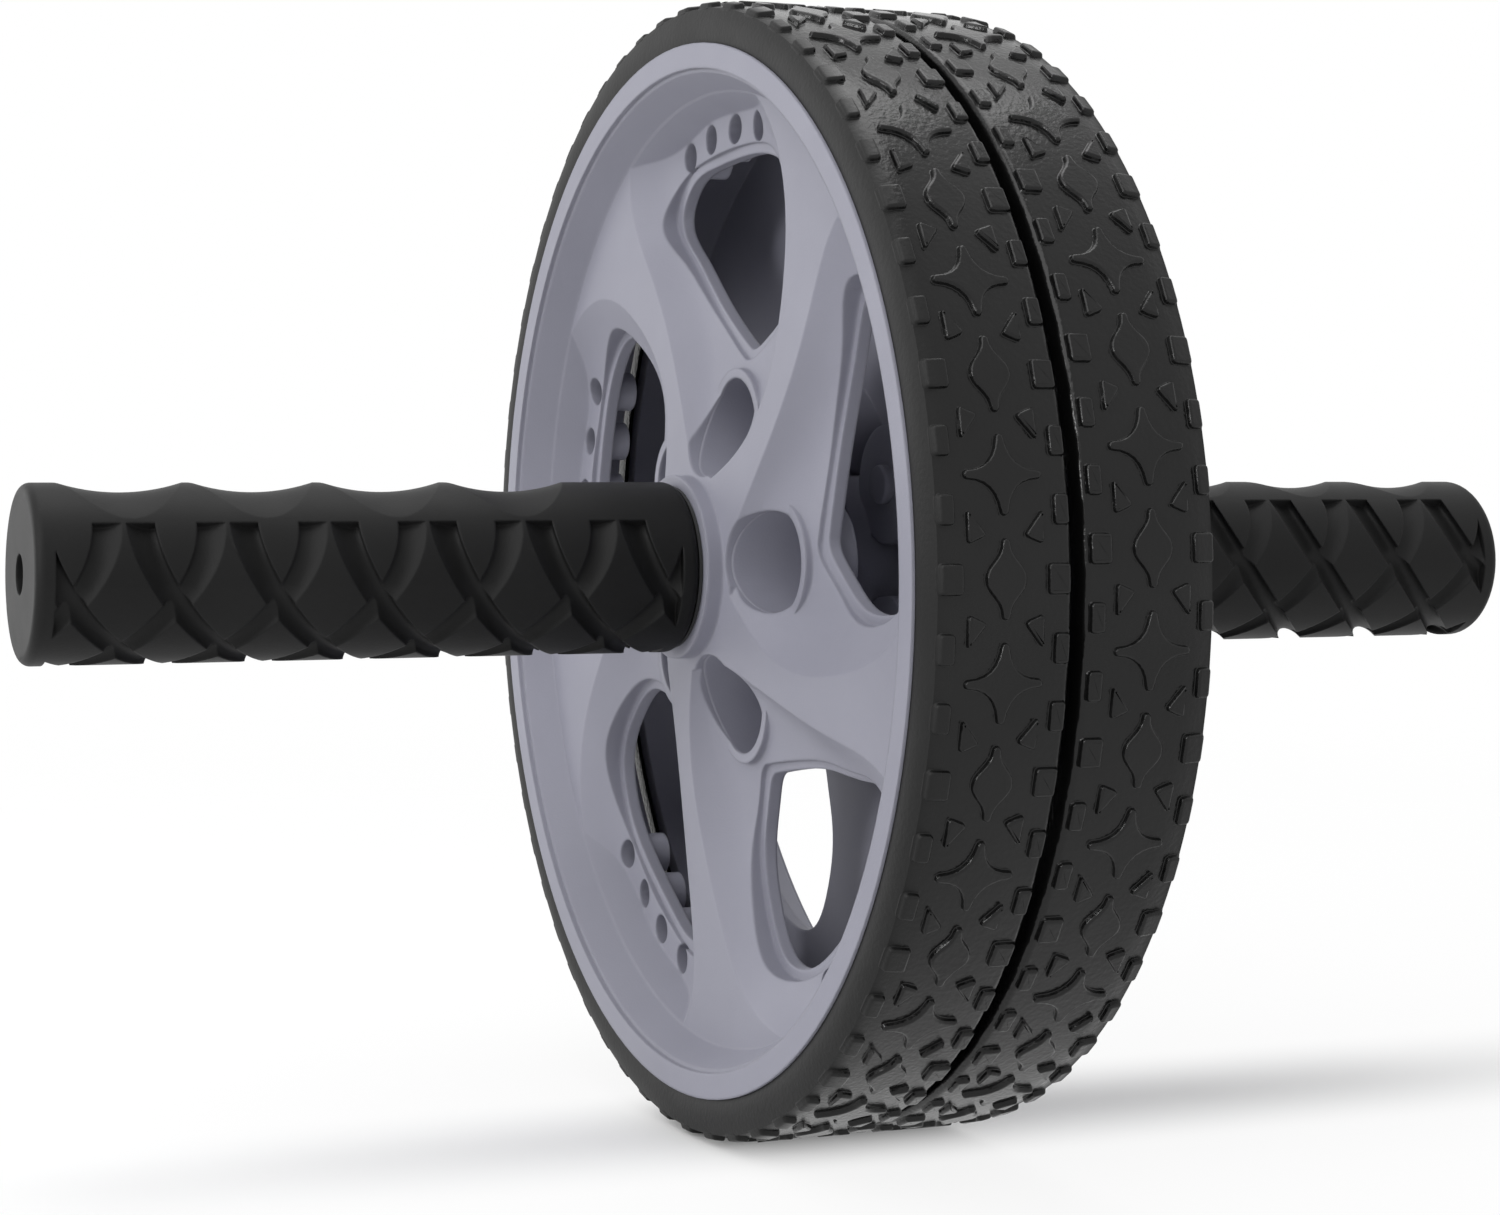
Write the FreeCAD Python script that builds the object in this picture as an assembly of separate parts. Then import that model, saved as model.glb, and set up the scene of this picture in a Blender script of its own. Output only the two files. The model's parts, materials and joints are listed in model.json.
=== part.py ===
import FreeCAD, Part
import math
import os

# Ab roller: two moulded wheels with rubber tyres that turn side by side on a steel axle tube, and a rubber
# grip over each end of the tube. Millimetres and degrees.
#
# Pieces are drawn in an outboard frame: Z runs along the axle from the mid-plane between the wheels towards
# the free end, and X and Y span the wheel's face. place() then turns each one to its side of the row frame,
# where the axle lies along Y, Z is up and the origin is the axle's centre.

# Tyre
wheel_diameter = 185.0
tyre_thickness = 7.0
tyre_width = 21.4
tyre_gap = 1.8
outer_shoulder_drop = 3.4
outer_shoulder_width = 3.2
inner_shoulder = 1.2
bead_width = 6.0
bead_depth = 1.4

# Tread blocks, each length given as (round the tyre, across the tyre)
tread_height = 1.2
tread_repeats = 20
star_length = 11.4
star_width = 12.0
star_waist_length = 3.6
star_waist_width = 4.2
diamond_length = 11.0
diamond_width = 5.8
drop_length = 4.9
drop_width = 3.0
drop_offset = 5.9
drop_corner_share = 0.5
edge_block_length = 4.3
edge_block_width = 3.0
edge_block_wide_width = 4.1
edge_block_inset = 1.05
edge_blocks_per_repeat = 3
block_root = 1.4

# Rim
rim_face = 22.75
rim_back = 1.6
rim_wall = 3.2
lip_width = 4.1
lip_step = 0.8
lip_ledge = 0.6
barrel_run = 5.2

# Dished web: the floor is the deepest line of a basin, the crest is the top of a spoke
web_wall = 3.0
floor_height = 12.0
floor_hub_height = 19.9
floor_flat_radius = 48.0
crest_height = 16.8
crest_hub_height = 20.8
crest_flat_radius = 66.0

# Hub
hub_radius = 15.0
hub_face = 23.5
hub_back = 2.65

# Basins between the spokes: they sweep round by sweep_angle from the large pocket to the small ones
spoke_count = 5
sweep_angle = 19.4
basin_crease_shares = [(0.185, 0.42, 0.42), (0.26, 0.72, 0.72), (0.36, 0.84, 0.86), (0.48, 0.82, 0.90),
                       (0.60, 0.77, 0.90), (0.71, 0.72, 0.86), (0.79, 0.64, 0.76), (0.85, 0.50, 0.60),
                       (0.92, 0.30, 0.38)]
basin_shoulder_share = 0.76
basin_shoulder_rise_share = 0.26
basin_overshoot_share = 0.5
basin_barrel_ledge = 0.2

# Window through each basin, lipped all round
window_half_angle = 22.0
window_inner_radius = 36.4
window_outer_radius = 67.7
window_lip_width = 1.7
window_lip_depth = 0.9
window_shares = [(0.0, 0.0), (0.09, 0.42), (0.30, 0.82), (0.62, 1.0), (0.90, 0.98), (1.0, 0.74), (1.01, 0.30)]

# Pockets moulded into each basin, with closed cups behind the web
large_pocket_circle = 23.6
large_pocket_radius = 8.1
large_pocket_floor = 7.0
large_cup_wall = 1.6
small_pocket_circle = 72.6
small_pocket_radius = 2.5
small_pocket_floor = 6.4
small_cup_wall = 1.0
small_pocket_count = 4
small_pocket_pitch = 7.75
cup_floor_wall = 1.2

# Axle, bushes and what holds the wheels along it
axle_radius = 6.0
axle_wall = 1.5
bush_clearance = 0.05
bush_wall = 1.5
bush_length = 8.0
bush_flange_radius = 10.5
bush_flange = 1.5
end_float = 0.15
spacer_radius = 9.5
washer_radius = 13.2
washer_thickness = 0.5
ring_thickness = 1.2
ring_groove_depth = 0.6
ring_radius = 8.8
ring_gap_angle = 80.0
ring_room = 0.3

# Grips
grip_radius = 13.9
grip_end = 130.0
grip_end_wall = 5.0
grip_end_round = 1.5
grip_hole_radius = 3.15
core_wall = 3.0
collar_wall = 1.5
plug_flange = 2.0
plug_length = 12.0

# Finger scallops on one side of a grip
finger_pitch = 20.75
finger_depth = 1.7
finger_trim = 0.2
finger_shift = 2.2
finger_first = 18.4
finger_count = 4

# Crossing grooves on the other side; the deep ones run on through the crossings
groove_pitch = 15.8
groove_pairs = 6
groove_half_width = 2.2
groove_depth = 1.75
cross_groove_depth = 1.35
groove_offset = 2.5
groove_margin = 3.0

# Rest angles of the turning pieces, from X towards Y of the outboard frame
left_wheel_angle = 3.3
right_wheel_angle = 1.0
left_tread_angle = 9.45
right_tread_angle = 6.0
left_grip_angle = 124.5
right_grip_angle = 39.5

overrun = 2.0

# Places worked out from the sizes above
tread_radius = wheel_diameter / 2
rim_radius = tread_radius - tyre_thickness
tread_base_radius = tread_radius - tread_height
tyre_inner_face = tyre_gap / 2
tyre_outer_face = tyre_inner_face + tyre_width
tyre_middle = tyre_inner_face + tyre_width / 2
lip_radius = rim_radius - lip_width
barrel_top_radius = lip_radius - lip_ledge
barrel_top = rim_face - lip_step
barrel_foot_radius = barrel_top_radius - barrel_run
web_back = floor_height - web_wall
hub_web_back = floor_hub_height - web_wall
bush_bore = axle_radius + bush_clearance
bush_radius = bush_bore + bush_wall
inner_flange_face = hub_back - bush_flange
spacer_half = inner_flange_face - end_float
washer_face = hub_face + end_float
grip_start = washer_face + washer_thickness
core_radius = axle_radius + core_wall
core_end = grip_end - grip_end_wall
axle_end = core_end - plug_flange
groove_radius = axle_radius - ring_groove_depth
ring_room_end = grip_start + ring_thickness + ring_room
ring_room_radius = ring_radius + ring_room
collar_radius = ring_room_radius + collar_wall
collar_end = ring_room_end + core_wall
groove_reach = groove_pitch - groove_offset
groove_low = grip_start + groove_margin
groove_high = grip_end - groove_margin

ORIGIN = FreeCAD.Vector(0, 0, 0)
AXIS = FreeCAD.Vector(0, 0, 1)
ACROSS = FreeCAD.Vector(1, 0, 0)


def at(radius, height, angle=0):
    """Point at a radius from the axle, a height outboard and an angle round it."""
    turn = math.radians(angle)
    return FreeCAD.Vector(radius * math.cos(turn), radius * math.sin(turn), height)


def line(start, end):
    return Part.LineSegment(start, end).toShape()


def turned(edges):
    """Solid of revolution about the axle from a closed profile."""
    face = Part.Face(Part.Wire(edges))
    return Part.makeSolid(face.revolve(ORIGIN, AXIS, 360).Shells[0])


def outline(points):
    """Straight edges through the points and back to the first."""
    return [line(a, b) for a, b in zip(points, points[1:] + points[:1])]


def tube(outer, inner, bottom, top):
    return turned(outline([at(inner, bottom), at(outer, bottom), at(outer, top), at(inner, top)]))


def place(shape, side):
    """Turn a piece from the outboard frame to the left (-Y) or the right (+Y) of the row frame."""
    shape.rotate(ORIGIN, ACROSS, 90)
    if side == "right":
        shape.rotate(ORIGIN, AXIS, 180)
    return shape


def dish(radius, flat_radius, flat_height, hub_height):
    """Height of a dished surface: a parabola that rises from its flat ring to the hub."""
    share = max(0, flat_radius - radius) / (flat_radius - hub_radius)
    return flat_height + (hub_height - flat_height) * share ** 2


def dish_edge(flat_radius, flat_height, hub_height):
    """The same parabola as an edge, from the hub out to the flat ring."""
    curve = Part.BezierCurve()
    middle = (hub_radius + flat_radius) / 2
    curve.setPoles([at(hub_radius, hub_height), at(middle, flat_height), at(flat_radius, flat_height)])
    return curve.toShape()


def basin_angle(radius):
    """Angle of a basin's centre line at a radius, from its large pocket."""
    return sweep_angle * (radius - large_pocket_circle) / (small_pocket_circle - large_pocket_circle)


def spoke_turns():
    return [k * 360 / spoke_count for k in range(spoke_count)]


# Wheel

def wheel_blank():
    """Hub, dished web, barrel and rim turned in one, with the groove that holds the tyre's bead."""
    back_flat = at(floor_flat_radius, web_back)
    edges = [line(at(bush_radius, hub_back), at(hub_radius, hub_back)),
             line(at(hub_radius, hub_back), at(hub_radius, hub_web_back)),
             dish_edge(floor_flat_radius, web_back, hub_web_back)]
    bead_low = tyre_middle - bead_width / 2
    bead_high = tyre_middle + bead_width / 2
    rim = [back_flat, at(rim_radius - rim_wall, web_back), at(rim_radius - rim_wall, rim_back),
           at(rim_radius, rim_back), at(rim_radius, bead_low), at(rim_radius - bead_depth, bead_low),
           at(rim_radius - bead_depth, bead_high), at(rim_radius, bead_high), at(rim_radius, rim_face),
           at(lip_radius, rim_face), at(lip_radius, barrel_top), at(barrel_top_radius, barrel_top),
           at(barrel_radius(crest_height), crest_height), at(crest_flat_radius, crest_height)]
    edges += [line(a, b) for a, b in zip(rim, rim[1:])]
    edges.append(dish_edge(crest_flat_radius, crest_height, crest_hub_height))
    flange_seat = hub_face - bush_flange
    hub = [at(hub_radius, crest_hub_height), at(hub_radius, hub_face), at(bush_flange_radius, hub_face),
           at(bush_flange_radius, flange_seat), at(bush_radius, flange_seat), at(bush_radius, hub_back)]
    edges += [line(a, b) for a, b in zip(hub, hub[1:])]
    return turned(edges)


def basin_section(crease_share, trailing_share, leading_share):
    """One cross-section of a basin: a flat-floored trough that runs on past its creases, closed above."""
    radius = crease_share * tread_radius
    sector = 180 / spoke_count
    half_angle = (trailing_share + leading_share) * sector / 2
    station = radius * math.cos(math.radians(half_angle))
    middle = basin_angle(station) + (leading_share - trailing_share) * sector / 2
    floor = dish(station, floor_flat_radius, floor_height, floor_hub_height)
    crest = floor + max(web_wall / 2, dish(radius, crest_flat_radius, crest_height, crest_hub_height) - floor)
    trailing, leading = at(radius, crest, middle - half_angle), at(radius, crest, middle + half_angle)
    centre = at(station, floor, middle)
    across = (leading - trailing) * (basin_shoulder_share / 2)
    rise = AXIS * (basin_shoulder_rise_share * (crest - floor))
    trailing_shoulder, leading_shoulder = centre - across + rise, centre + across + rise
    start = trailing + (trailing - trailing_shoulder) * basin_overshoot_share
    end = leading + (leading - leading_shoulder) * basin_overshoot_share
    trough = Part.BSplineCurve()
    trough.interpolate([start, trailing, trailing_shoulder, centre, leading_shoulder, leading, end])
    lift = AXIS * (rim_face + overrun - start.z)
    return Part.Wire([trough.toShape(), line(end, end + lift), line(end + lift, start + lift),
                      line(start + lift, start)])


def barrel_radius(height):
    """Radius of the conical barrel at a height outboard."""
    share = (height - floor_height) / (barrel_top - floor_height)
    return barrel_foot_radius + barrel_run * share


def basin():
    """Cutter for one basin: a loft through its cross-sections, ended a hair inside the barrel."""
    trough = Part.makeLoft([basin_section(*shares) for shares in basin_crease_shares], True, False)
    low, high = web_back, rim_face + 2 * overrun
    reach = turned(outline([at(0, low), at(barrel_radius(low) - basin_barrel_ledge, low),
                            at(barrel_radius(high) - basin_barrel_ledge, high), at(0, high)]))
    return trough.common(reach)


def window_prism(margin, bottom, top):
    """Prism on the window's outline, widened all round by a margin."""
    half = []
    length = window_outer_radius - window_inner_radius
    for radial_share, angle_share in window_shares:
        radius = window_inner_radius + radial_share * length + margin * (2 * radial_share - 1)
        half_angle = angle_share * (window_half_angle + math.degrees(margin / radius))
        half.append((radius, half_angle))
    mirrored = [(radius, -half_angle) for radius, half_angle in reversed(half[1:])]
    points = [at(radius, bottom, basin_angle(radius) + angle) for radius, angle in half + mirrored]
    curve = Part.BSplineCurve()
    curve.interpolate(Points=points, PeriodicFlag=True)
    face = Part.Face(Part.Wire([curve.toShape()]))
    return face.extrude(AXIS * (top - bottom))


def small_pocket_angles():
    middle = (small_pocket_count - 1) / 2
    return [sweep_angle + (k - middle) * small_pocket_pitch for k in range(small_pocket_count)]


def pocket_places():
    """Circle, angle, radius, floor and cup wall of each pocket of one basin."""
    places = [(large_pocket_circle, 0, large_pocket_radius, large_pocket_floor, large_cup_wall)]
    for angle in small_pocket_angles():
        places.append((small_pocket_circle, angle, small_pocket_radius, small_pocket_floor, small_cup_wall))
    return places


def cup(circle, angle, radius, floor, wall):
    bottom = floor - cup_floor_wall
    top = dish(circle, floor_flat_radius, floor_height, floor_hub_height) - web_wall / 2
    return Part.makeCylinder(radius + wall, top - bottom, at(circle, bottom, angle))


def pocket(circle, angle, radius, floor):
    return Part.makeCylinder(radius, rim_face + overrun - floor, at(circle, floor, angle))


def turned_copies(shapes):
    """Each shape repeated at every spoke."""
    copies = []
    for turn in spoke_turns():
        for shape in shapes:
            copy = shape.copy()
            copy.rotate(ORIGIN, AXIS, turn)
            copies.append(copy)
    return copies


def window_lip():
    """Cutter for the shallow step round a window, at an even depth below the basin's floor."""
    flat, hub = floor_height - window_lip_depth, floor_hub_height - window_lip_depth
    top = rim_face + overrun
    edges = [dish_edge(floor_flat_radius, flat, hub), line(at(floor_flat_radius, flat), at(rim_radius, flat)),
             line(at(rim_radius, flat), at(rim_radius, top)), line(at(rim_radius, top), at(hub_radius, top)),
             line(at(hub_radius, top), at(hub_radius, hub))]
    return turned(edges).common(window_prism(window_lip_width, web_back, top + overrun))


def wheel(angle):
    body = wheel_blank()
    for cutter in turned_copies([basin()]):
        body = body.cut(cutter)
    cups = [cup(*spot) for spot in pocket_places()]
    body = body.fuse(turned_copies(cups))
    cutters = [window_prism(0, rim_back, rim_face + overrun), window_lip()]
    cutters += [pocket(*spot[:4]) for spot in pocket_places()]
    body = body.cut(turned_copies(cutters)).removeSplitter()
    body.rotate(ORIGIN, AXIS, angle)
    return body


# Tyre

def tyre_band():
    """Plain tyre with rounded shoulders and a bead that keys into the rim."""
    bead_low = tyre_middle - bead_width / 2
    bead_high = tyre_middle + bead_width / 2
    bead_radius = rim_radius - bead_depth
    shoulder_low = tyre_inner_face + inner_shoulder
    shoulder_high = tyre_outer_face - outer_shoulder_width
    inner_corner = at(tread_base_radius - inner_shoulder, tyre_inner_face)
    outer_corner = at(tread_base_radius - outer_shoulder_drop, tyre_outer_face)
    bulge = math.sqrt(0.5)
    outer_middle = at(tread_base_radius - outer_shoulder_drop * (1 - bulge),
                      tyre_outer_face - outer_shoulder_width * (1 - bulge))
    inner_middle = at(tread_base_radius - inner_shoulder * (1 - bulge),
                      tyre_inner_face + inner_shoulder * (1 - bulge))
    tread_low, tread_high = at(tread_base_radius, shoulder_low), at(tread_base_radius, shoulder_high)
    seat = [outer_corner, at(rim_radius, tyre_outer_face), at(rim_radius, bead_high), at(bead_radius, bead_high),
            at(bead_radius, bead_low), at(rim_radius, bead_low), at(rim_radius, tyre_inner_face), inner_corner]
    edges = [Part.Arc(inner_corner, inner_middle, tread_low).toShape(), line(tread_low, tread_high),
             Part.Arc(tread_high, outer_middle, outer_corner).toShape()]
    edges += [line(a, b) for a, b in zip(seat, seat[1:])]
    return turned(edges)


def block(points, angle):
    """Tread block: an outline of (round, across) offsets, standing on the tyre at an angle."""
    root = tread_base_radius - block_root
    corners = [FreeCAD.Vector(root, along, tyre_middle + across) for along, across in points]
    face = Part.Face(Part.makePolygon(corners + corners[:1]))
    solid = face.extrude(ACROSS * (tread_radius - root))
    solid.rotate(ORIGIN, AXIS, angle)
    return solid


def star_outline():
    tip_along, tip_across = star_length / 2, star_width / 2
    waist_along, waist_across = star_waist_length / 2, star_waist_width / 2
    return [(tip_along, 0), (waist_along, waist_across), (0, tip_across), (-waist_along, waist_across),
            (-tip_along, 0), (-waist_along, -waist_across), (0, -tip_across), (waist_along, -waist_across)]


def diamond_outline():
    return [(diamond_length / 2, 0), (0, diamond_width / 2), (-diamond_length / 2, 0), (0, -diamond_width / 2)]


def drop_outline(along_sign, across_sign):
    """Three-cornered drop whose long side faces the tyre's edge and whose point faces the star."""
    outer, inner = drop_offset * across_sign, (drop_offset - drop_width) * across_sign
    point, heel = -along_sign * drop_length / 2, along_sign * drop_length / 2
    return [(point, outer), (heel, outer), (heel * drop_corner_share, inner)]


def edge_outline(width, across_sign):
    inner_edge = tyre_width / 2 - width
    outer_edge = tyre_width / 2 - edge_block_inset
    half = edge_block_length / 2
    return [(-half, inner_edge * across_sign), (half, inner_edge * across_sign),
            (half, outer_edge * across_sign), (-half, outer_edge * across_sign)]


def tread_blocks():
    blocks = []
    pitch = 360 / tread_repeats
    edge_pitch = pitch / edge_blocks_per_repeat
    for repeat in range(tread_repeats):
        star_angle = repeat * pitch
        diamond_angle = star_angle + pitch / 2
        blocks.append(block(star_outline(), star_angle))
        blocks.append(block(diamond_outline(), diamond_angle))
        for across_sign in (-1, 1):
            for along_sign in (-1, 1):
                drop_angle = star_angle + along_sign * pitch / 4
                blocks.append(block(drop_outline(along_sign, across_sign), drop_angle))
            for step in range(edge_blocks_per_repeat):
                width = edge_block_width if step else edge_block_wide_width
                blocks.append(block(edge_outline(width, across_sign), diamond_angle + step * edge_pitch))
    return blocks


def tyre(angle):
    body = tyre_band().fuse(tread_blocks())
    body.rotate(ORIGIN, AXIS, angle)
    return body


# Axle and what runs on it

def axle():
    """Steel tube along the whole axle, with a groove for each retaining ring."""
    body = tube(axle_radius, axle_radius - axle_wall, -axle_end, axle_end)
    for low in (grip_start, -grip_start - ring_thickness):
        body = body.cut(tube(axle_radius + overrun, groove_radius, low, low + ring_thickness))
    return body


def spacer():
    return tube(spacer_radius, bush_bore, -spacer_half, spacer_half)


def inner_bush():
    sleeve = hub_back + bush_length
    return turned(outline([at(bush_bore, inner_flange_face), at(bush_flange_radius, inner_flange_face),
                           at(bush_flange_radius, hub_back), at(bush_radius, hub_back), at(bush_radius, sleeve),
                           at(bush_bore, sleeve)]))


def outer_bush():
    seat = hub_face - bush_flange
    sleeve = seat - bush_length
    return turned(outline([at(bush_bore, sleeve), at(bush_radius, sleeve), at(bush_radius, seat),
                           at(bush_flange_radius, seat), at(bush_flange_radius, hub_face),
                           at(bush_bore, hub_face)]))


def thrust_washer():
    return tube(washer_radius, axle_radius, washer_face, grip_start)


def retaining_ring():
    """Open spring ring that snaps into the axle's groove outside the washer."""
    ring = tube(ring_radius, groove_radius, grip_start, grip_start + ring_thickness)
    reach = ring_radius + overrun
    spread = reach * math.tan(math.radians(ring_gap_angle / 2))
    low = grip_start - overrun
    corners = [FreeCAD.Vector(0, 0, low), FreeCAD.Vector(reach, -spread, low), FreeCAD.Vector(reach, spread, low)]
    gap = Part.Face(Part.Wire(outline(corners))).extrude(AXIS * (ring_thickness + overrun * 2))
    return ring.cut(gap)


# Grip

def grip_core():
    """Hard sleeve pressed on the axle, hollowed at its inner end over the retaining ring."""
    return turned(outline([at(ring_room_radius, grip_start), at(collar_radius, grip_start),
                           at(collar_radius, collar_end), at(core_radius, collar_end), at(core_radius, core_end),
                           at(axle_radius, core_end), at(axle_radius, ring_room_end),
                           at(ring_room_radius, ring_room_end)]))


def end_plug():
    bore = axle_radius - axle_wall
    return turned(outline([at(0, axle_end - plug_length), at(bore, axle_end - plug_length), at(bore, axle_end),
                           at(axle_radius, axle_end), at(axle_radius, core_end), at(0, core_end)]))


def grip_outside():
    """Round bar with softened ends."""
    bar = Part.makeCylinder(grip_radius, grip_end - grip_start, at(0, grip_start))
    rims = [edge for edge in bar.Edges if edge.Curve.TypeId == "Part::GeomCircle"]
    return bar.makeFillet(grip_end_round, rims)


def finger_form():
    """Scalloped form, set off-centre so that it only trims the finger side of the bar."""
    crest = grip_radius + finger_shift - finger_trim
    start = grip_start - overrun
    first = grip_start + finger_first
    last = first + finger_count * finger_pitch
    edges = [line(at(0, start), at(crest, start)), line(at(crest, start), at(crest, first))]
    for k in range(finger_count):
        low = first + k * finger_pitch
        edges.append(Part.Arc(at(crest, low), at(crest - finger_depth, low + finger_pitch / 2),
                              at(crest, low + finger_pitch)).toShape())
    end = grip_end + overrun
    edges += [line(at(crest, last), at(crest, end)), line(at(crest, end), at(0, end)), line(at(0, end), at(0, start))]
    form = turned(edges)
    form.translate(ACROSS * -finger_shift)
    return form


def groove(middle, direction, depth):
    """Round-bottomed channel that winds half-way round the bar, shifting along it as it goes."""
    bottom_round = (groove_half_width ** 2 + depth ** 2) / (2 * depth)
    centre = FreeCAD.Vector(0, grip_radius - depth + bottom_round, 0)
    section = Part.Face(Part.Wire([Part.Circle(centre, ACROSS, bottom_round).toShape()]))
    channel = section.revolve(ORIGIN, AXIS, 180)
    slant = FreeCAD.Matrix()
    slant.A32 = -direction * groove_reach / grip_radius
    channel = channel.transformGeometry(slant)
    channel.translate(AXIS * (middle + direction * (groove_offset + groove_reach)))
    return channel


def grooves():
    """Channels that start in pairs along the bar, and the tails of those that would start beyond its ends."""
    band = Part.makeCylinder(2 * grip_radius, groove_high - groove_low, at(0, groove_low))
    beyond = math.ceil(2 * groove_reach / groove_pitch)
    first = (grip_start + grip_end) / 2 - groove_pitch * (groove_pairs - 1) / 2
    channels = []
    for pair in range(-beyond, groove_pairs + beyond):
        for direction, depth in ((-1, cross_groove_depth), (1, groove_depth)):
            channel = groove(first + pair * groove_pitch, direction, depth)
            box = channel.BoundBox
            if box.ZMin < groove_low or box.ZMax > groove_high:
                channel = channel.common(band)
            if channel.Volume:
                channels.append(channel)
    return channels


def grip(angle):
    body = grip_outside().common(finger_form())
    for channel in grooves():
        body = body.cut(channel)
    body.rotate(ORIGIN, AXIS, angle)
    low, high = grip_start - overrun, grip_end + overrun
    hollow = turned(outline([at(0, low), at(collar_radius, low), at(collar_radius, collar_end),
                             at(core_radius, collar_end), at(core_radius, core_end),
                             at(grip_hole_radius, core_end), at(grip_hole_radius, high), at(0, high)]))
    return body.cut(hollow)


def pieces():
    """Every node's name and solid."""
    nodes = {"axle_tube": place(axle(), "left"), "centre_spacer": place(spacer(), "left")}
    for side, wheel_angle, tread_angle, grip_angle in (
            ("left", left_wheel_angle, left_tread_angle, left_grip_angle),
            ("right", right_wheel_angle, right_tread_angle, right_grip_angle)):
        made = {"wheel": wheel(wheel_angle), "tyre": tyre(tread_angle), "inner_bush": inner_bush(),
                "outer_bush": outer_bush(), "thrust_washer": thrust_washer(),
                "retaining_ring": retaining_ring(), "grip_core": grip_core(), "grip": grip(grip_angle),
                "axle_plug": end_plug()}
        for name, shape in made.items():
            nodes[side + "_" + name] = place(shape, side)
    return nodes


os.makedirs("parts", exist_ok=True)
for node, solid in pieces().items():
    solid.exportStep("parts/" + node + ".step")
    print(node, len(solid.Solids), solid.isValid(), round(solid.Volume), len(solid.Faces))
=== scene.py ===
import json
import math

import bpy
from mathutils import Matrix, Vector


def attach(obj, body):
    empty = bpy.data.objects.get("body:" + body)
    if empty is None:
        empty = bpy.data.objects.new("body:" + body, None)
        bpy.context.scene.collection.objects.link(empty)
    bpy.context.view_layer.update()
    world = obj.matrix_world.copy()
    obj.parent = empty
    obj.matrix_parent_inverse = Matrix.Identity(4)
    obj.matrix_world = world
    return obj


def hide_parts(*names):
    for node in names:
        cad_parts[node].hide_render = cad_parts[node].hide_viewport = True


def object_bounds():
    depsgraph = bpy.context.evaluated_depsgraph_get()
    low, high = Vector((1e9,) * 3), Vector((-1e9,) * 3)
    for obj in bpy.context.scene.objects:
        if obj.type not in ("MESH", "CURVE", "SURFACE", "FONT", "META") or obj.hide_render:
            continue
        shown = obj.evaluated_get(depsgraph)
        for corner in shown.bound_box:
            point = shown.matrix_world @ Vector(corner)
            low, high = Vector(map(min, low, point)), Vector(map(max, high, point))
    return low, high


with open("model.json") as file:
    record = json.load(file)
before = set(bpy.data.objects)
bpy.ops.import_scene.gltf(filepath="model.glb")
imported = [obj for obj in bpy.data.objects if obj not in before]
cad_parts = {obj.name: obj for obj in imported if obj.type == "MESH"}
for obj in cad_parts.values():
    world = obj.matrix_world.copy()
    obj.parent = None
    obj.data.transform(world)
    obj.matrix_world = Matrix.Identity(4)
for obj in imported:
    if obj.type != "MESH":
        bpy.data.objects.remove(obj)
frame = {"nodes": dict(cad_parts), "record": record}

cad_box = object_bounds()

# Ab roller on a pale floor. The object's sizes are millimetres and its angles degrees, in the outboard frame
# of each wheel: a radius from the axle, a height along it from the mid-plane between the wheels, and an angle
# round it. point() turns them into metres of the shared frame. Materials, floor and lamps are in metres.
MM = 0.001
SIDES = ("left", "right")

# Shading: an edge stays sharp beyond these angles
sharp_angle = 40
tyre_sharp_angle = 50

# Tyre band
tread_radius = 92.5
tyre_thickness = 7.0
tyre_width = 21.4
tyre_gap = 1.8
outer_edge_drop = 0.6
outer_edge_inset = 0.6
crown_width = 5.5
sidewall_bulge = 0.7
inner_shoulder = 1.2
satin_width = 3.2
satin_roughness = 0.42
band_segments = 240
shoulder_steps = 8

# Tread blocks, lengths round the tyre and widths across it
tread_height = 0.8
tread_repeats = 20
tread_angles = {"left": 9.45, "right": 6.0}
block_round = 0.42
block_flat = 0.1
block_foot = 0.3
block_sink = 0.04
block_root = 1.6
round_steps = 3
foot_steps = 2
tip_round = 0.6
star_size = (11.4, 12.0)
star_waist = (3.6, 4.2)
star_steps = 6
diamond_size = (11.2, 6.2)
diamond_point_share = 0.5
diamond_side_share = 0.36
diamond_steps = 9
drop_length = 4.9
drop_width = 3.0
drop_offset = 5.9
drop_corner_share = 0.5
drop_round = 0.8
edge_block_length = 4.3
edge_block_width = 3.0
edge_block_wide_width = 4.1
edge_block_inset = 0.75
edge_block_round = 0.6
edge_blocks_per_repeat = 3

# Large pockets of the wheels: a lining up to the dished web, and a stud behind each closed end
spoke_count = 5
wheel_angles = {"left": 3.3, "right": 1.0}
pocket_circle = 23.6
pocket_radius = 8.1
lining_wall = 1.4
lining_skin = 0.02
lining_foot = 6.9
lining_low = 14.8
lining_chamfer = 0.5
lining_steps = 72
web_height = 12.0
web_hub_height = 19.9
web_flat_radius = 48.0
hub_radius = 15.0
cup_back = 5.8
stud_radius = 3.2
stud_height = 1.5
stud_round = 0.5
stud_steps = 32

# Fine structure of the materials, with the scale and the detail of each noise
shade_scale = 45
shade_detail = 2
shade_ramp = (0.3, 0.7)
gloss_scale = 160
gloss_detail = 4
grain_detail = 3
grain_strength = 0.6
edge_samples = 6
line_scale = 80
line_detail = 2
line_stretch = (1, 60, 1)

# Floor: its disc, and how white it is seen, away from the tyres and along the line where they stand; less
# white along that line leaves a darker strip there, painted contact shade over the real shadow
floor_segments = 96
floor_reach = 1.6
floor_fade = (0.35, 0.9)
floor_grey = 0.93
floor_roughness = 0.9
floor_white = 0.88
# painted contact shade: the floor is seen with little white along the line where the tyres stand, so it is
# darker there
painted_shade_white = 0.07
painted_shade_reach = 0.035

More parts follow.
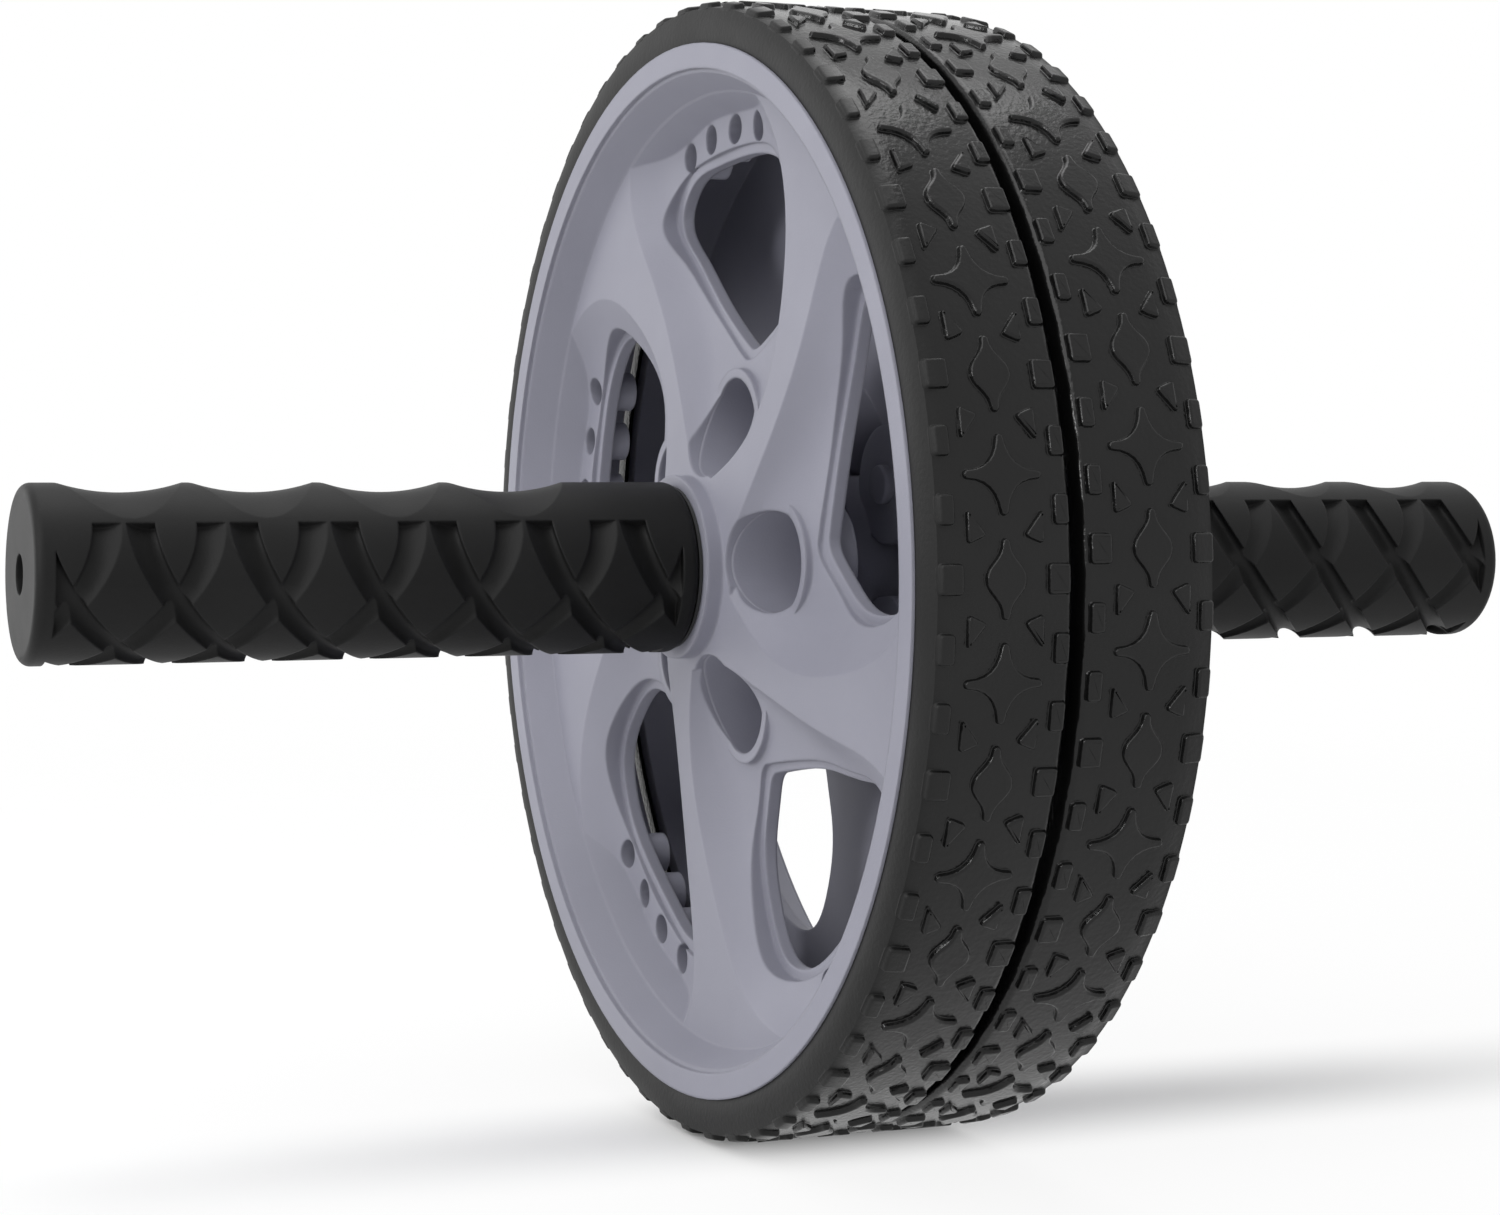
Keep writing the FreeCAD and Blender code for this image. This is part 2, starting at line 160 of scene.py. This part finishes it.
# Light: the room's strength as it lights things and as it is seen, and each lamp's place, size and power
room_light = 0.55
room_white = 1.0
lamps = {
    "key": ((0.5, -0.9, 1.1), 1.2, 9.5),
    "top": ((-0.2, 0.1, 1.3), 0.9, 6),
    "left": ((0.35, -1.1, 0.3), 0.25, 3),
    "behind": ((-0.8, -0.8, 0.2), 0.6, 2.5),
}

# Camera, round the point that it looks at
camera_target = Vector((0, -30.96, 25.26)) * MM
camera_distance = 490.7 * MM
camera_azimuth = 68.62
camera_elevation = -1.24
camera_lens = 72.15
camera_sensor = 36
camera_shift = (0.08, -0.13)

# Places worked out from the sizes above
rim_radius = tread_radius - tyre_thickness
tread_base_radius = tread_radius - tread_height
tyre_inner_face = tyre_gap / 2
tyre_outer_face = tyre_inner_face + tyre_width
tyre_middle = tyre_inner_face + tyre_width / 2


# Points, faces and objects

def point(side, radius, height, angle):
    """Point of the shared frame, in metres, for a radius, a height outboard and an angle in radians."""
    outboard = -1 if side == "left" else 1
    return Vector((-outboard * radius * math.cos(angle), outboard * height, radius * math.sin(angle))) * MM


def quarter_round(steps):
    """Points of a quarter circle of radius 1, measured from the corner that it rounds off."""
    leans = [k / steps * math.pi / 2 for k in range(steps + 1)]
    return [(1 - math.sin(lean), 1 - math.cos(lean)) for lean in leans]


def bezier(start, control, end, steps):
    """Points along a quadratic curve, without its end."""
    points = []
    for k in range(steps):
        t = k / steps
        points.append(tuple((1 - t) ** 2 * a + 2 * t * (1 - t) * b + t ** 2 * c
                            for a, b, c in zip(start, control, end)))
    return points


def close_rings(faces, first, rings, count):
    """Faces of a body made of equal rings of points, closed at the first ring and the last."""
    for ring in range(rings - 1):
        for k in range(count):
            a = first + ring * count + k
            b = first + ring * count + (k + 1) % count
            faces.append((a, b, b + count, a + count))
    last = first + (rings - 1) * count
    faces.append(tuple(range(last, last + count)))
    faces.append(tuple(reversed(range(first, first + count))))


def close_loop(faces, first, segments, count):
    """Faces of a closed profile of points that is turned once round an axis."""
    for segment in range(segments):
        here = first + segment * count
        ahead = first + (segment + 1) % segments * count
        for k in range(count):
            after = (k + 1) % count
            faces.append((here + k, ahead + k, ahead + after, here + after))


def add_object(name, data):
    """New object in the scene."""
    item = bpy.data.objects.new(name, data)
    bpy.context.scene.collection.objects.link(item)
    return item


def mesh_object(name, verts, faces, angle=sharp_angle):
    """Smooth-shaded object from points and faces, sharp only at edges beyond an angle."""
    mesh = bpy.data.meshes.new(name)
    mesh.from_pydata(verts, [], faces)
    mesh.validate()
    mesh.shade_smooth()
    mesh.set_sharp_from_angle(angle=math.radians(angle))
    return add_object(name, mesh)


# Shader nodes

def new_material(name):
    """Material with its node tree and surface shader."""
    material = bpy.data.materials.new(name)
    material.use_nodes = True
    return material, material.node_tree, material.node_tree.nodes["Principled BSDF"]


def object_place(tree):
    """Place on the object, in its own frame."""
    return tree.nodes.new("ShaderNodeTexCoord").outputs["Object"]


def noise(tree, place, scale, detail):
    """Value that drifts from place to place."""
    texture = tree.nodes.new("ShaderNodeTexNoise")
    texture.inputs["Scale"].default_value = scale
    texture.inputs["Detail"].default_value = detail
    tree.links.new(place, texture.inputs["Vector"])
    return texture.outputs["Fac"]


def arithmetic(tree, operation, *values):
    """Result of an operation on one or two values."""
    node = tree.nodes.new("ShaderNodeMath")
    node.operation = operation
    for value, socket in zip(values, node.inputs):
        tree.links.new(value, socket)
    return node.outputs["Value"]


def carried(tree, value, to_range, from_range=(0, 1), interpolation="LINEAR"):
    """Value carried over from one range to another."""
    node = tree.nodes.new("ShaderNodeMapRange")
    node.interpolation_type = interpolation
    node.inputs["From Min"].default_value, node.inputs["From Max"].default_value = from_range
    node.inputs["To Min"].default_value, node.inputs["To Max"].default_value = to_range
    tree.links.new(value, node.inputs["Value"])
    return node.outputs["Result"]


def distance_along(tree, axis):
    """Distance from the object's origin along one axis, to either side."""
    parts = tree.nodes.new("ShaderNodeSeparateXYZ")
    tree.links.new(object_place(tree), parts.inputs["Vector"])
    return arithmetic(tree, "ABSOLUTE", parts.outputs[axis])


def mixed(tree, share, first, second):
    """Mix of two shaders, with a share of the second one."""
    mix = tree.nodes.new("ShaderNodeMixShader")
    tree.links.new(share, mix.inputs["Fac"])
    tree.links.new(first, mix.inputs[1])
    tree.links.new(second, mix.inputs[2])
    return mix.outputs["Shader"]


def seen_or_mirrored(tree):
    """One for rays from the camera, a mirror or glass, and nought for the rays that light things."""
    path = tree.nodes.new("ShaderNodeLightPath")
    seen = path.outputs["Is Camera Ray"]
    for ray in ("Is Glossy Ray", "Is Transmission Ray"):
        seen = arithmetic(tree, "MAXIMUM", seen, path.outputs[ray])
    return seen


# Materials of the object

def varied_colour(tree, factor, dark, light):
    """Colour that drifts between two shades with a noise."""
    node = tree.nodes.new("ShaderNodeValToRGB")
    for element, position, colour in zip(node.color_ramp.elements, shade_ramp, (dark, light)):
        element.position = position
        element.color = (*colour, 1)
    tree.links.new(factor, node.inputs["Fac"])
    return node.outputs["Color"]


def bumped(tree, height, depth, edge_radius):
    """Normal with a fine bump, over edges that are softened by a radius."""
    bump = tree.nodes.new("ShaderNodeBump")
    bump.inputs["Distance"].default_value = depth
    bump.inputs["Strength"].default_value = grain_strength
    tree.links.new(height, bump.inputs["Height"])
    if edge_radius:
        bevel = tree.nodes.new("ShaderNodeBevel")
        bevel.samples = edge_samples
        bevel.inputs["Radius"].default_value = edge_radius
        tree.links.new(bevel.outputs["Normal"], bump.inputs["Normal"])
    return bump.outputs["Normal"]


def moulded(name, dark, light, roughness, specular, grain_scale, grain_depth, edge_radius=0):
    """Moulded plastic or rubber: drifting shade, uneven gloss, fine grain and softened edges."""
    material, tree, shader = new_material(name)
    shader.inputs["Specular IOR Level"].default_value = specular
    place = object_place(tree)
    drift = noise(tree, place, shade_scale, shade_detail)
    tree.links.new(varied_colour(tree, drift, dark, light), shader.inputs["Base Color"])
    patches = noise(tree, place, gloss_scale, gloss_detail)
    tree.links.new(carried(tree, patches, roughness), shader.inputs["Roughness"])
    grain = noise(tree, place, grain_scale, grain_detail)
    tree.links.new(bumped(tree, grain, grain_depth, edge_radius), shader.inputs["Normal"])
    return material


def metal(name, colour, roughness):
    """Drawn or rolled steel with fine lines round the axle."""
    material, tree, shader = new_material(name)
    shader.inputs["Metallic"].default_value = 1
    shader.inputs["Base Color"].default_value = (*colour, 1)
    stretch = tree.nodes.new("ShaderNodeMapping")
    stretch.inputs["Scale"].default_value = line_stretch
    tree.links.new(object_place(tree), stretch.inputs["Vector"])
    lines = noise(tree, stretch.outputs["Vector"], line_scale, line_detail)
    tree.links.new(carried(tree, lines, roughness), shader.inputs["Roughness"])
    return material


def satin_side(material):
    """Tyre rubber with less gloss on its outer edge and sidewall than on its tread."""
    tree = material.node_tree
    roughness = tree.nodes["Principled BSDF"].inputs["Roughness"]
    tread_roughness = roughness.links[0].from_socket
    edge = ((tyre_outer_face - satin_width) * MM, (tyre_outer_face - outer_edge_inset) * MM)
    rise = carried(tree, distance_along(tree, "Y"), (0, satin_roughness), edge)
    tree.links.new(arithmetic(tree, "ADD", tread_roughness, rise), roughness)


materials = {
    "wheel_plastic": moulded("wheel_plastic", dark=(0.235, 0.235, 0.283), light=(0.250, 0.250, 0.300),
                             roughness=(0.50, 0.60), specular=0.4, grain_scale=2600, grain_depth=0.00004,
                             edge_radius=0.0007),
    "tyre_rubber": moulded("tyre_rubber", dark=(0.0035, 0.0035, 0.0035), light=(0.0060, 0.0060, 0.0060),
                           roughness=(0.14, 0.22), specular=0.28, grain_scale=1300, grain_depth=0.00013),
    "grip_rubber": moulded("grip_rubber", dark=(0.0090, 0.0090, 0.0090), light=(0.0120, 0.0120, 0.0120),
                           roughness=(0.47, 0.55), specular=0.14, grain_scale=3000, grain_depth=0.00004,
                           edge_radius=0.0005),
    "core_plastic": moulded("core_plastic", dark=(0.018, 0.018, 0.018), light=(0.022, 0.022, 0.022),
                            roughness=(0.5, 0.6), specular=0.5, grain_scale=2600, grain_depth=0.00003),
    "bush_plastic": moulded("bush_plastic", dark=(0.70, 0.69, 0.65), light=(0.76, 0.75, 0.71),
                            roughness=(0.3, 0.4), specular=0.5, grain_scale=2600, grain_depth=0.00002),
    "axle_steel": metal("axle_steel", colour=(0.60, 0.60, 0.60), roughness=(0.22, 0.36)),
    "spring_steel": metal("spring_steel", colour=(0.28, 0.28, 0.29), roughness=(0.30, 0.44)),
}
satin_side(materials["tyre_rubber"])


def dress(piece, slot):
    """Gives a piece the material of a slot."""
    piece.data.materials.clear()
    piece.data.materials.append(materials[slot])


# Tyre band

def crown(height):
    """Radius of the band at a height outboard: flat, with a round inner edge and a falling outer one."""
    outer = max(0, height - tyre_outer_face + crown_width) / (crown_width - outer_edge_inset)
    inner = min(1, max(0, tyre_inner_face + inner_shoulder - height) / inner_shoulder)
    drop = outer_edge_drop * outer ** 2 + inner_shoulder * (1 - math.sqrt(1 - inner ** 2))
    return tread_base_radius - drop


def band_profile():
    """Closed (radius, height) profile of the tyre without its blocks."""
    edge, crown_start = tyre_outer_face - outer_edge_inset, tyre_outer_face - crown_width
    heights = [tyre_inner_face + inner_shoulder * rise for _, rise in quarter_round(shoulder_steps)]
    for k in range(shoulder_steps):
        heights.append(crown_start + (edge - crown_start) * k / shoulder_steps)
    profile = [(rim_radius, tyre_inner_face)] + [(crown(height), height) for height in heights]
    bulge = ((rim_radius + crown(edge)) / 2, tyre_outer_face + sidewall_bulge)
    profile += bezier((crown(edge), edge), bulge, (rim_radius, tyre_outer_face), shoulder_steps)
    return profile + [(rim_radius, tyre_outer_face)]


def add_band(verts, faces, side):
    """The tyre without its blocks, turned round the axle."""
    profile = band_profile()
    first = len(verts)
    for segment in range(band_segments):
        turn = segment / band_segments * math.tau
        verts += [point(side, radius, height, turn) for radius, height in profile]
    close_loop(faces, first, band_segments, len(profile))


# Tread blocks, each outline a list of (round, across) offsets from an angle on the tyre

def star_outline():
    """Four blunt points joined by hollow sides."""
    points = []
    for quarter in range(4):
        along, across = (0, 1) if quarter % 2 == 0 else (1, 0)
        turn = quarter * math.pi / 2
        out = Vector((math.cos(turn), math.sin(turn)))
        flank = Vector((-math.sin(turn), math.cos(turn)))
        tip = out * (star_size[along] / 2 - tip_round)
        for k in range(star_steps):
            lean = (k / star_steps - 0.5) * math.pi
            points.append(tuple(tip + (out * math.cos(lean) + flank * math.sin(lean)) * tip_round))
        start = tip + flank * tip_round
        end = flank * (star_size[across] / 2 - tip_round) + out * tip_round
        middle = out * (star_waist[along] / 2) + flank * (star_waist[across] / 2)
        points += bezier(start, middle * 2 - (start + end) / 2, end, star_steps)
    return points


def diamond_outline():
    """Two long points whose sides swell into rounded flanks."""
    length, width = diamond_size[0] / 2, diamond_size[1] / 2
    poles = [(length - tip_round, tip_round), (length * diamond_point_share, tip_round),
             (length * diamond_side_share, width), (0, width)]
    quarter = [(length - tip_round * back, tip_round * (1 - beside))
               for beside, back in quarter_round(round_steps)[:-1]]
    for k in range(diamond_steps):
        t = k / diamond_steps
        weights = ((1 - t) ** 3, 3 * t * (1 - t) ** 2, 3 * t ** 2 * (1 - t), t ** 3)
        quarter.append(tuple(sum(w * pole[axis] for w, pole in zip(weights, poles)) for axis in (0, 1)))
    half = quarter + [(0, width)] + [(-along, across) for along, across in reversed(quarter)]
    return half + [(along, -across) for along, across in reversed(half[1:-1])]


def rounded(corners, radius):
    """Outline through the corners, each one rounded off."""
    points = []
    for before, corner, after in zip(corners[-1:] + corners[:-1], corners, corners[1:] + corners[:1]):
        here = Vector(corner)
        start = here + (Vector(before) - here).normalized() * radius
        end = here + (Vector(after) - here).normalized() * radius
        points += bezier(start, here, end, round_steps) + [tuple(end)]
    return points


def drop_outline(along_sign, across_sign):
    """Three-cornered drop with its long side towards the tyre's edge and its point towards the star."""
    outer, inner = drop_offset * across_sign, (drop_offset - drop_width) * across_sign
    tip, heel = -along_sign * drop_length / 2, along_sign * drop_length / 2
    return rounded([(tip, outer), (heel, outer), (heel * drop_corner_share, inner)], drop_round)


def edge_outline(width, across_sign):
    """Rounded oblong along one edge of the tyre."""
    inner, outer = tyre_width / 2 - width, tyre_width / 2 - edge_block_inset
    half = edge_block_length / 2
    corners = [(-half, inner), (half, inner), (half, outer), (-half, outer)]
    return rounded([(along, across * across_sign) for along, across in corners], edge_block_round)


def anticlockwise(outline):
    """The outline, turned round if it runs clockwise."""
    area = sum(a[0] * b[1] - b[0] * a[1] for a, b in zip(outline, outline[1:] + outline[:1]))
    return outline if area > 0 else outline[::-1]


def inward_normals(outline):
    """Unit normal into the outline at each of its points."""
    normals = []
    for before, after in zip(outline[-1:] + outline[:-1], outline[1:] + outline[:1]):
        run = (Vector(after) - Vector(before)).normalized()
        normals.append(Vector((-run.y, run.x)))
    return normals


def block_profile():
    """Inset and height above the band of each ring of a block: its root, hollow foot and rounded top."""
    root = [(-block_foot, -block_root)]
    foot = [(-block_foot * out, block_foot * up - block_sink)
            for out, up in quarter_round(foot_steps)[:-1]]
    top = [(block_round * back, tread_height - block_round * down)
           for down, back in quarter_round(round_steps)]
    return root + foot + top + [(block_round + block_flat, tread_height)]


def add_block(verts, faces, side, outline, angle):
    """One tread block at an angle on the tyre."""
    outline = anticlockwise(outline)
    normals = inward_normals(outline)
    profile = block_profile()
    first = len(verts)
    for inset, rise in profile:
        for (along, across), normal in zip(outline, normals):
            turn = angle + (along + normal.x * inset) / tread_radius
            height = tyre_middle + across + normal.y * inset
            verts.append(point(side, crown(height) + rise, height, turn))
    close_rings(faces, first, len(profile), len(outline))


def add_tread(verts, faces, side):
    """All blocks of a tyre: stars and diamonds by turns, drops between them and blocks along both edges."""
    pitch = math.tau / tread_repeats
    edge_pitch = pitch / edge_blocks_per_repeat
    for repeat in range(tread_repeats):
        star_angle = math.radians(tread_angles[side]) + repeat * pitch
        diamond_angle = star_angle + pitch / 2
        add_block(verts, faces, side, star_outline(), star_angle)
        add_block(verts, faces, side, diamond_outline(), diamond_angle)
        for across_sign in (-1, 1):
            for along_sign in (-1, 1):
                drop_angle = star_angle + along_sign * pitch / 4
                add_block(verts, faces, side, drop_outline(along_sign, across_sign), drop_angle)
            for step in range(edge_blocks_per_repeat):
                width = edge_block_width if step else edge_block_wide_width
                edge_angle = diamond_angle + step * edge_pitch
                add_block(verts, faces, side, edge_outline(width, across_sign), edge_angle)


def tyre(side):
    """Tyre with its tread, in place of the plainer solid."""
    verts, faces = [], []
    add_band(verts, faces, side)
    add_tread(verts, faces, side)
    piece = mesh_object(side + "_tyre_tread", verts, faces, tyre_sharp_angle)
    dress(piece, "tyre_rubber")
    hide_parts(side + "_tyre")
    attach(piece, side + "_wheel_set")


# Pockets

def pocket_point(side, turn, radius, angle, height):
    """Point at a radius and an angle round a pocket's own axis, the angle 180 degrees facing the hub."""
    along = pocket_circle + radius * math.cos(angle)
    across = radius * math.sin(angle)
    return point(side, math.hypot(along, across), height, turn + math.atan2(across, along))


def lining_top(angle):
    """Height of a pocket's lining at an angle: just below the dished web, and never below the cup's rim."""
    across = math.hypot(pocket_circle + pocket_radius * math.cos(angle), pocket_radius * math.sin(angle))
    share = (web_flat_radius - across) / (web_flat_radius - hub_radius)
    return max(lining_low, web_height + (web_hub_height - web_height) * share ** 2 - lining_skin)


def add_lining(verts, faces, side, turn):
    """Thin tube that lines a pocket and closes its wall between the cup and the web."""
    first = len(verts)
    inner, outer = pocket_radius - lining_skin, pocket_radius + lining_wall
    for k in range(lining_steps):
        angle = k / lining_steps * math.tau
        top = lining_top(angle)
        corners = ((inner, lining_foot), (outer, lining_foot), (outer, top - lining_chamfer), (inner, top))
        verts += [pocket_point(side, turn, radius, angle, height) for radius, height in corners]
    close_loop(faces, first, lining_steps, len(corners))


def add_stud(verts, faces, side, turn):
    """Round stud with a softened rim on the back of a pocket's closed end."""
    first = len(verts)
    face = cup_back - stud_height
    rings = [(stud_radius - stud_round * inset, face + stud_round * rise)
             for inset, rise in quarter_round(round_steps)]
    rings.append((stud_radius, cup_back + stud_round))
    for radius, height in rings:
        for k in range(stud_steps):
            verts.append(pocket_point(side, turn, radius, k / stud_steps * math.tau, height))
    close_rings(faces, first, len(rings), stud_steps)


def pockets(side):
    """Linings and studs of a wheel's large pockets."""
    verts, faces = [], []
    for spoke in range(spoke_count):
        turn = math.radians(wheel_angles[side]) + spoke / spoke_count * math.tau
        add_lining(verts, faces, side, turn)
        add_stud(verts, faces, side, turn)
    piece = mesh_object(side + "_wheel_pockets", verts, faces)
    dress(piece, "wheel_plastic")
    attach(piece, side + "_wheel_set")


# Stage

def lightened(tree, surface):
    """Floor shader that is seen mixed with white, least along the line where the tyres stand, which paints a
    darker strip of contact shade there over the real shadow.
    """
    off_line = distance_along(tree, "X")
    # painted contact shade: less white near the line where the tyres stand darkens the floor there, on top of
    # the real shadow
    share = carried(tree, off_line, (painted_shade_white, floor_white), (0, painted_shade_reach), "SMOOTHSTEP")
    white = tree.nodes.new("ShaderNodeEmission").outputs["Emission"]
    return mixed(tree, arithmetic(tree, "MULTIPLY", share, seen_or_mirrored(tree)), surface, white)


def floor_material():
    """Pale matt surface that turns clear away from the object."""
    material, tree, shader = new_material("floor")
    shader.inputs["Base Color"].default_value = (floor_grey, floor_grey, floor_grey, 1)
    shader.inputs["Roughness"].default_value = floor_roughness
    shader.inputs["Specular IOR Level"].default_value = 0
    away = tree.nodes.new("ShaderNodeVectorMath")
    away.operation = "LENGTH"
    tree.links.new(object_place(tree), away.inputs[0])
    fade = carried(tree, away.outputs["Value"], (0, 1), floor_fade, "SMOOTHSTEP")
    clear = tree.nodes.new("ShaderNodeBsdfTransparent").outputs["BSDF"]
    surface = mixed(tree, fade, lightened(tree, shader.outputs["BSDF"]), clear)
    tree.links.new(surface, tree.nodes["Material Output"].inputs["Surface"])
    return material


def floor():
    """Wide pale disc that fades into the background."""
    level = cad_box[0].z
    verts, faces = [Vector((0, 0, level))], []
    for k in range(floor_segments):
        turn = k / floor_segments * math.tau
        verts.append(Vector((floor_reach * math.cos(turn), floor_reach * math.sin(turn), level)))
        faces.append((0, k + 1, (k + 1) % floor_segments + 1))
    piece = mesh_object("floor", verts, faces)
    piece.data.materials.append(floor_material())


def white_room():
    """World that is white where it is seen or mirrored, and gives a softer even light."""
    world = bpy.data.worlds.new("room")
    world.use_nodes = True
    bpy.context.scene.world = world
    tree = world.node_tree
    background = tree.nodes["Background"]
    background.inputs["Color"].default_value = (1, 1, 1, 1)
    strength = carried(tree, seen_or_mirrored(tree), (room_light, room_white))
    tree.links.new(strength, background.inputs["Strength"])


def aim(item, direction):
    """Turns a lamp or the camera to face along a direction."""
    item.rotation_euler = direction.to_track_quat("-Z", "Y").to_euler()


def soft_light(name, place, size, power):
    """Square area light that faces the middle of the object."""
    data = bpy.data.lights.new(name, "AREA")
    data.size = size
    data.energy = power
    lamp = add_object(name, data)
    lamp.location = place
    aim(lamp, -Vector(place))


def camera():
    """Camera with its optical centre off the middle of the picture."""
    data = bpy.data.cameras.new("camera")
    data.lens = camera_lens
    data.sensor_width = camera_sensor
    data.shift_x, data.shift_y = camera_shift
    azimuth, elevation = math.radians(camera_azimuth), math.radians(camera_elevation)
    back = Vector((math.sin(azimuth) * math.cos(elevation), -math.cos(azimuth) * math.cos(elevation),
                   math.sin(elevation)))
    item = add_object("camera", data)
    item.location = camera_target + back * camera_distance
    aim(item, -back)
    bpy.context.scene.camera = item


for subpart in frame["record"]["subparts"]:
    dress(frame["nodes"][subpart["node"]], subpart["material_slot"])
for side in SIDES:
    tyre(side)
    pockets(side)

floor()
white_room()
for name, (place, size, power) in lamps.items():
    soft_light(name, place, size, power)
camera()
bpy.context.scene.view_settings.view_transform = "Standard"
